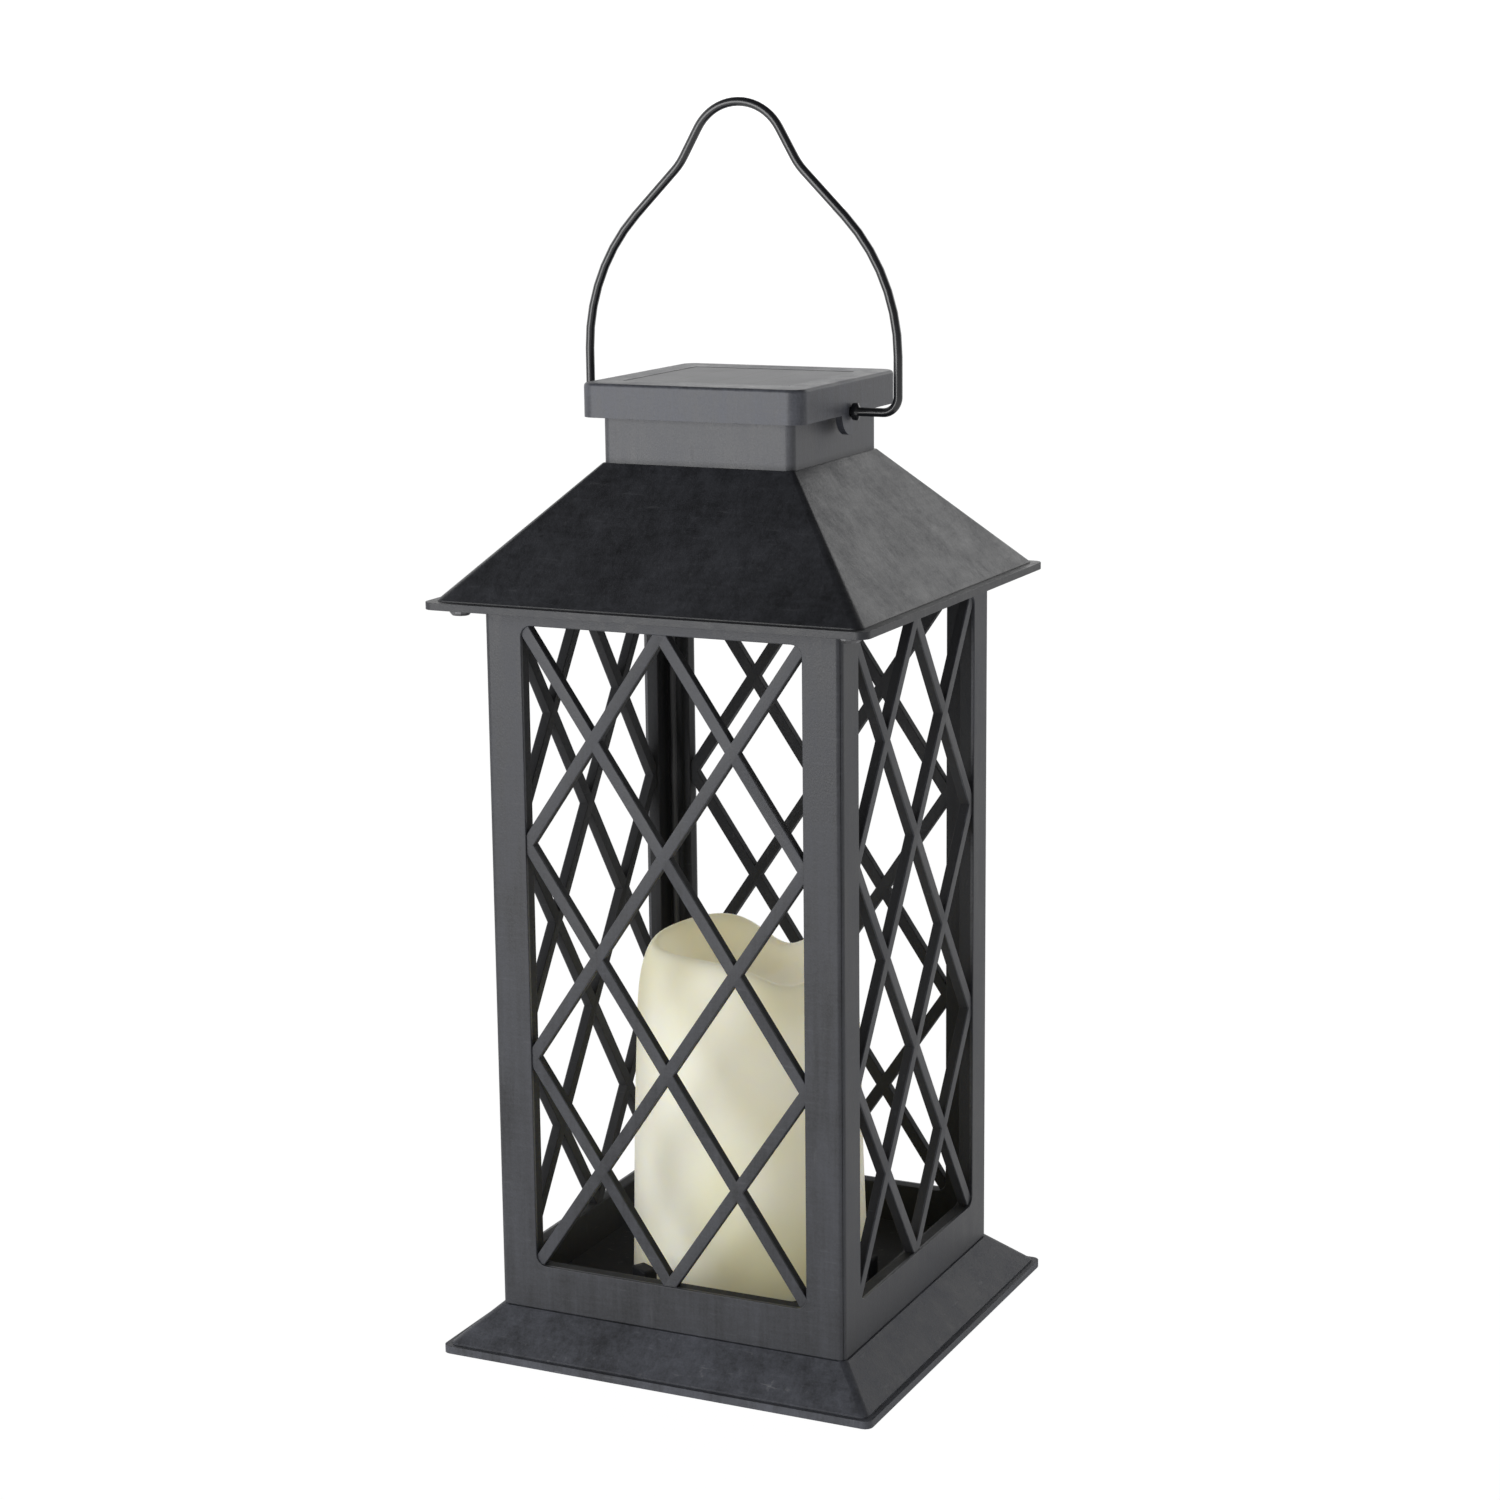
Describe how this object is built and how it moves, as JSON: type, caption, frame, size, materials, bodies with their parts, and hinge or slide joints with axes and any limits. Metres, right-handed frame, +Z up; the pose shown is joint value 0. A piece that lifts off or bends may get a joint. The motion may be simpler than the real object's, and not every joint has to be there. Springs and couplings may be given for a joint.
{
  "type": "candle lantern",
  "caption": "Square lattice-sided lantern with a hipped roof, a flat lid with a solar panel, a wire bail handle and an electric pillar candle.",
  "frame": {"origin": "centre of the base lip's footprint, on the surface that it stands on", "axes": "+Z up, +X to the right along the front face, +Y towards the back"},
  "size_m": [0.15, 0.15, 0.3962],
  "materials": {
    "housing_plastic": "black moulded plastic, satin with a faint grain",
    "lid_plastic": "black moulded plastic, a little glossier than the housing",
    "bail_wire": "black enamelled wire, glossy",
    "candle_wax": "ivory wax-like plastic with a soft sheen",
    "candle_base_plastic": "plain ivory plastic",
    "solar_cell": "dark cell strips under clear gloss resin",
    "screw_steel": "blackened steel screws",
    "battery_wrap": "plain green sleeve",
    "contact_metal": "nickel plated spring steel",
    "circuit_green": "green solder mask",
    "switch_case": "tinned steel can",
    "switch_black": "black nylon",
    "lamp_lens": "clear warm epoxy lens",
    "lead_red": "red insulation",
    "lead_black": "black insulation"
  },
  "bodies": {
    "lantern": {"base_skirt": "housing_plastic", "front_wall": "housing_plastic", "right_wall": "housing_plastic", "back_wall": "housing_plastic", "left_wall": "housing_plastic", "ceiling_plate": "housing_plastic", "roof_shell": "housing_plastic", "lid_shell": "lid_plastic", "solar_panel": "solar_cell", "candle_shell": "candle_wax", "candle_base": "candle_base_plastic", "battery_door": "candle_base_plastic", "battery_cell": "battery_wrap", "battery_spring": "contact_metal", "battery_contact": "contact_metal", "circuit_board": "circuit_green", "switch_body": "switch_case", "led_holder": "candle_base_plastic", "led_lamp": "lamp_lens", "led_lead": "lead_red", "solar_lead": "lead_black", "battery_door_screw": "screw_steel", "candle_screw_1": "screw_steel", "candle_screw_2": "screw_steel", "candle_screw_3": "screw_steel", "wall_screw_1": "screw_steel", "wall_screw_2": "screw_steel", "wall_screw_3": "screw_steel", "wall_screw_4": "screw_steel", "wall_screw_5": "screw_steel", "wall_screw_6": "screw_steel", "wall_screw_7": "screw_steel", "wall_screw_8": "screw_steel", "eave_screw_1": "screw_steel", "eave_screw_2": "screw_steel", "eave_screw_3": "screw_steel", "eave_screw_4": "screw_steel", "lid_screw_1": "screw_steel", "lid_screw_2": "screw_steel", "lid_screw_3": "screw_steel", "lid_screw_4": "screw_steel"},
    "handle": {"handle_wire": "bail_wire"},
    "switch": {"switch_slider": "switch_black"}
  },
  "joints": [
    {"name": "handle_swing", "type": "hinge", "parent": "lantern", "child": "handle", "pos_m": [0, 0, 0.3005], "axis": [1, 0, 0], "range_deg": [-117, 117]},
    {"name": "switch_slide", "type": "slide", "parent": "lantern", "child": "switch", "axis": [1, 0, 0], "range_m": [0, 0.0034]}
  ]
}
